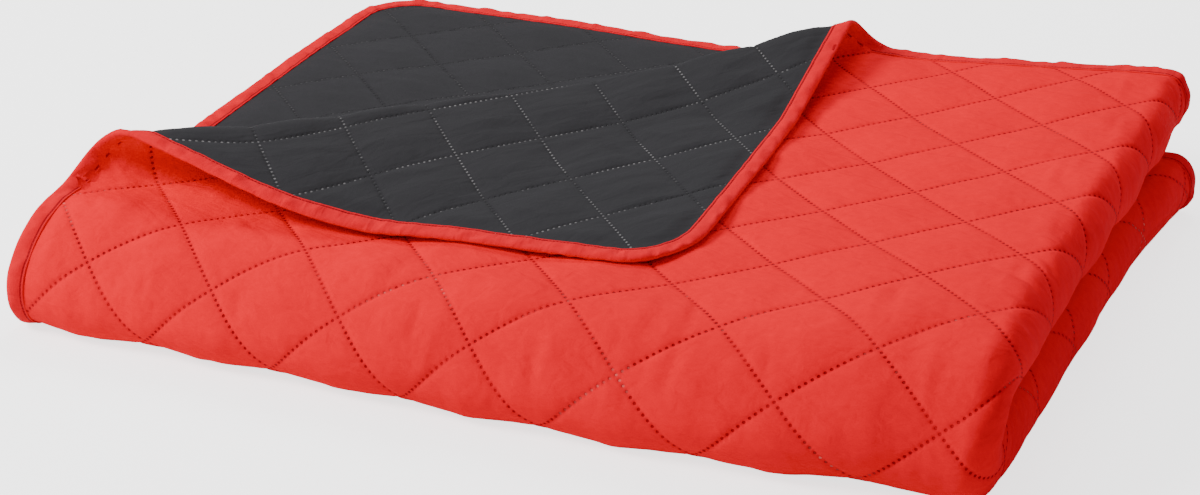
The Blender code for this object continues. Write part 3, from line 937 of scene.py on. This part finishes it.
faceFinish = {
    "colour": (0.95, 0.0004, 0.015),
    # painted shade in the welded lines' grooves
    "grooveShadeColour": (0.74, 0.0004, 0.014),
    "dotColour": (0.27, 0.003, 0.006),
    # painted glint: pale colour given to lucky dots, as if they caught the light
    "paintedGlintColour": (0.92, 0.17, 0.15),
    "roughness": 0.78,
    "dotRoughness": 0.48,
    "gloss": 0.03,
    "sheen": 0.0,
    "sheenRoughness": 0.45,
    "sheenTint": (1.0, 0.30, 0.30),
    "glintThreshold": 0.74,  # how lucky a dot must be to get the painted glint, as if it caught the light
    "glintAxis": 1,  # painted glints on the dots fade along v, from the front fold to the top
    "glintFade": (0.72, 0.86),
    "crumple": 0.80,  # strength and depth of the bump, then depths of the weave and the dots
    "crumpleDepth": 0.0040,
    "weaveDepth": 0.00022,
    "dotDepth": 0.0007,
}
backFinish = {
    "colour": (0.029, 0.028, 0.031),
    # painted shade in the welded lines' grooves
    "grooveShadeColour": (0.020, 0.019, 0.021),
    "dotColour": (0.016, 0.015, 0.017),
    # painted glint: pale colour given to lucky dots, as if they caught the light
    "paintedGlintColour": (0.19, 0.18, 0.185),
    "roughness": 0.84,
    "dotRoughness": 0.50,
    "gloss": 0.10,
    "sheen": 0.02,
    "sheenRoughness": 0.50,
    "sheenTint": (0.85, 0.85, 0.90),
    "glintThreshold": 0.54,
    "glintAxis": 0,  # painted glints on the dots fade along u, from the rolled flap to the layer behind it
    "glintFade": (0.45, 0.90),
    "crumple": 0.50,
    "crumpleDepth": 0.0040,
    "weaveDepth": 0.00022,
    "dotDepth": 0.0007,
}
tapeFinish = {
    "colour": (0.82, 0.0004, 0.014),
    # painted shade in the sewn seam's groove
    "seamShadeColour": (0.20, 0.001, 0.005),
    "roughness": 0.72,
    "gloss": 0.06,
    "sheen": 0.0,
    "sheenRoughness": 0.40,
    "sheenTint": (1.0, 0.35, 0.35),
    "crumple": 0.90,
    "crumpleDepth": 0.0036,
    "weaveDepth": 0.00022,
}
threadFinish = {
    "colour": (0.72, 0.001, 0.012),
    "roughness": 0.55,
    "gloss": 0.30,
    "sheen": 0.02,
    "sheenRoughness": 0.40,
    "sheenTint": (1.0, 0.5, 0.5),
}


def quiltedMaterial(name, settings, turn):
    finish, tree, shader = newMaterial(name, settings)
    plan = clothPlan(tree)
    dots = placeGroup(tree, weldDots, plan)
    weave = placeGroup(tree, fineWeave, plan, (("Thread", 0.00045),))
    marks = placeGroup(tree, handling, plan, (("Turn", turn), ("Stretch", 2.8)))
    patchy = toned(tree, settings["colour"], marks["Patches"], 0.05)
    cloth = toned(tree, patchy, weave["Shade"], 0.07)
    # Painted shade: the cloth darkens along the welded lines' grooves
    grooveShaded = mixColour(tree, maths(tree, "MULTIPLY", dots["Line"], 0.40), cloth, settings["grooveShadeColour"])
    # Painted glint: lucky dots turn pale as if they caught the light, fewer along one axis
    area = noise(tree, plan, 11.0, 1.0)
    chance = maths(tree, "ADD", maths(tree, "MULTIPLY", dots["Luck"], 0.16), area)
    paintedGlint = ramped(tree, chance, settings["glintThreshold"] - 0.10, settings["glintThreshold"] + 0.14)
    place = tree.nodes.new("ShaderNodeSeparateXYZ")
    link(tree, plan, place.inputs[0])
    glintFading = ramped(tree, place.outputs[settings["glintAxis"]], *settings["glintFade"], 1.0, 0.2)
    paintedGlint = maths(tree, "MULTIPLY", paintedGlint, glintFading)
    dotColour = mixColour(tree, paintedGlint, settings["dotColour"], settings["paintedGlintColour"])
    faint = ramped(tree, noise(tree, plan, 17.0, 2.0), 0.30, 0.62, 0.45, 0.95)
    shown = maths(tree, "MULTIPLY", dots["Dots"], faint)
    colour = mixColour(tree, shown, grooveShaded, dotColour)
    link(tree, colour, shader.inputs["Base Color"])
    rough = maths(tree, "ADD", maths(tree, "MULTIPLY", weave["Shade"], 0.10), settings["roughness"] - 0.05)
    lower = maths(tree, "MULTIPLY", dots["Dots"], settings["roughness"] - settings["dotRoughness"])
    link(tree, maths(tree, "SUBTRACT", rough, lower), shader.inputs["Roughness"])
    crumpled = bumped(tree, marks["Crumple"], settings["crumpleDepth"], settings["crumple"])
    woven = bumped(tree, weave["Height"], settings["weaveDepth"], 0.60, crumpled)
    link(tree, bumped(tree, dots["Relief"], settings["dotDepth"], 0.90, woven), shader.inputs["Normal"])
    return finish


def seamReach():
    # How far round the tape's section its two seams lie
    rows = list(binding["outerRows"]) + [(0.0, 0.0)]
    rows += [(depth, -height) for depth, height in reversed(binding["outerRows"])]
    reached, places = 0.0, []
    for k in range(1, len(rows)):
        reached += math.hypot(rows[k][0] - rows[k - 1][0], rows[k][1] - rows[k - 1][1])
        if rows[k][0] == binding["seamDepth"]:
            places.append(reached)
    return places


def tapeMaterial(name, settings):
    finish, tree, shader = newMaterial(name, settings)
    plan = clothPlan(tree)
    weave = placeGroup(tree, fineWeave, plan, (("Thread", 0.00040), ("Unevenness", 0.8)))
    marks = placeGroup(tree, handling, plan, (("Turn", math.pi / 2), ("Stretch", 3.0)))
    patchy = toned(tree, settings["colour"], marks["Patches"], 0.05)
    cloth = toned(tree, patchy, weave["Shade"], 0.08)
    place = tree.nodes.new("ShaderNodeSeparateXYZ")
    link(tree, plan, place.inputs[0])
    # Painted shade: the tape darkens along the grooves of its two sewn seams
    seams = []
    for at in seamReach():
        off = maths(tree, "ABSOLUTE", maths(tree, "SUBTRACT", place.outputs[1], at))
        seams.append(ramped(tree, off, 0.0004, 0.0013, 1.0, 0.0))
    seam = maths(tree, "MAXIMUM", *seams)
    link(tree, mixColour(tree, maths(tree, "MULTIPLY", seam, 0.85), cloth, settings["seamShadeColour"]),
         shader.inputs["Base Color"])
    rough = maths(tree, "ADD", maths(tree, "MULTIPLY", weave["Shade"], 0.12), settings["roughness"] - 0.06)
    link(tree, rough, shader.inputs["Roughness"])
    crumpled = bumped(tree, marks["Crumple"], settings["crumpleDepth"], settings["crumple"])
    woven = bumped(tree, weave["Height"], settings["weaveDepth"], 0.60, crumpled)
    link(tree, woven, shader.inputs["Normal"])
    return finish


def threadMaterial(name, settings):
    finish, tree, shader = newMaterial(name, settings)
    where = tree.nodes.new("ShaderNodeTexCoord")
    twist = noise(tree, where.outputs["Object"], 1400.0, 2.0, 0.6)
    link(tree, toned(tree, settings["colour"], twist, 0.15), shader.inputs["Base Color"])
    link(tree, maths(tree, "ADD", maths(tree, "MULTIPLY", twist, 0.2), settings["roughness"] - 0.1),
         shader.inputs["Roughness"])
    link(tree, bumped(tree, twist, 0.0002, 0.5), shader.inputs["Normal"])
    return finish


redCloth = quiltedMaterial("Red quilted microfibre", faceFinish, 0.25)
charcoalCloth = quiltedMaterial("Charcoal quilted microfibre", backFinish, -0.75)
redTape = tapeMaterial("Red binding tape", tapeFinish)
redThread = threadMaterial("Red sewing thread", threadFinish)
print("Materials made")

faceCloth = makePanel("faceCloth", 1, redCloth)
backCloth = makePanel("backCloth", -1, charcoalCloth)
edgeTape = makeBinding("edgeTape", redTape)
seamThread = makeThread("seamThread", redThread)

for piece, node, slot in ((faceCloth, "face_panel", "face_cloth"), (backCloth, "back_panel", "back_cloth"),
                          (edgeTape, "binding", "binding_tape")):
    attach(piece, "root")
    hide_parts(node)
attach(seamThread, "root")
print("Pieces declared")

# Camera at the photo's angle, then floor and soft light
view = {
    "azimuth": math.radians(24.65),
    "elevation": math.radians(24.09),
    "distance": 2.533,
    "target": (0.0050, -0.0729, 0.0400),
    "sensorWidth": 36.0,
    "focalPixels": 3080,
    "imageWidth": 1200,
}
studio = {
    "floorSize": 14.0,
    "floorColour": (0.90, 0.90, 0.90),
    "floorGlow": 2.2,
    "worldColour": (1.0, 1.0, 1.0),
    "worldStrength": 0.40,
    "aim": (0, 0, 0.05),
    "lights": (  # name, place, size, power
        ("keyLight", (-2.1, -1.3, 1.9), (1.1, 1.0), 102),
        ("topLight", (-0.4, 1.6, 1.9), (1.2, 0.9), 30),
    ),
}


def makeCamera():
    azimuth, elevation = view["azimuth"], view["elevation"]
    back = Vector((math.sin(azimuth) * math.cos(elevation), -math.cos(azimuth) * math.cos(elevation),
                   math.sin(elevation)))
    lens = bpy.data.cameras.new("photoCamera")
    lens.sensor_fit = "HORIZONTAL"
    lens.sensor_width = view["sensorWidth"]
    lens.lens = view["sensorWidth"] * view["focalPixels"] / view["imageWidth"]
    camera = bpy.data.objects.new("photoCamera", lens)
    camera.location = Vector(view["target"]) + back * view["distance"]
    camera.rotation_euler = back.to_track_quat("Z", "Y").to_euler()
    bpy.context.scene.collection.objects.link(camera)
    bpy.context.scene.camera = camera


def makeFloor():
    bpy.ops.object.select_all(action="DESELECT")
    bpy.ops.mesh.primitive_plane_add(size=studio["floorSize"], location=(0, 0, -0.0004))
    floor = bpy.context.object
    floor.name = "studioFloor"
    finish = bpy.data.materials.new("Pale floor")
    finish.use_nodes = True
    shader = finish.node_tree.nodes["Principled BSDF"]
    shader.inputs["Base Color"].default_value = (*studio["floorColour"], 1)
    shader.inputs["Roughness"].default_value = 0.9
    shader.inputs["Emission Color"].default_value = (1, 1, 1, 1)
    # The glow shows to the camera only, so that the floor doesn't light the cloth from below
    tree = finish.node_tree
    seen = tree.nodes.new("ShaderNodeLightPath").outputs["Is Camera Ray"]
    link(tree, maths(tree, "MULTIPLY", seen, studio["floorGlow"]), shader.inputs["Emission Strength"])
    floor.data.materials.append(finish)


def softLight(name, place, size, power):
    lamp = bpy.data.lights.new(name, "AREA")
    lamp.shape = "RECTANGLE"
    lamp.size, lamp.size_y = size
    lamp.energy = power
    light = bpy.data.objects.new(name, lamp)
    light.location = place
    light.rotation_euler = (Vector(place) - Vector(studio["aim"])).to_track_quat("Z", "Y").to_euler()
    bpy.context.scene.collection.objects.link(light)


makeCamera()
makeFloor()
for name, place, size, power in studio["lights"]:
    softLight(name, place, size, power)
world = bpy.data.worlds.new("studioWorld")
world.use_nodes = True
background = world.node_tree.nodes["Background"]
background.inputs["Color"].default_value = (*studio["worldColour"], 1)
background.inputs["Strength"].default_value = studio["worldStrength"]
bpy.context.scene.world = world
print("Camera, floor and light set")
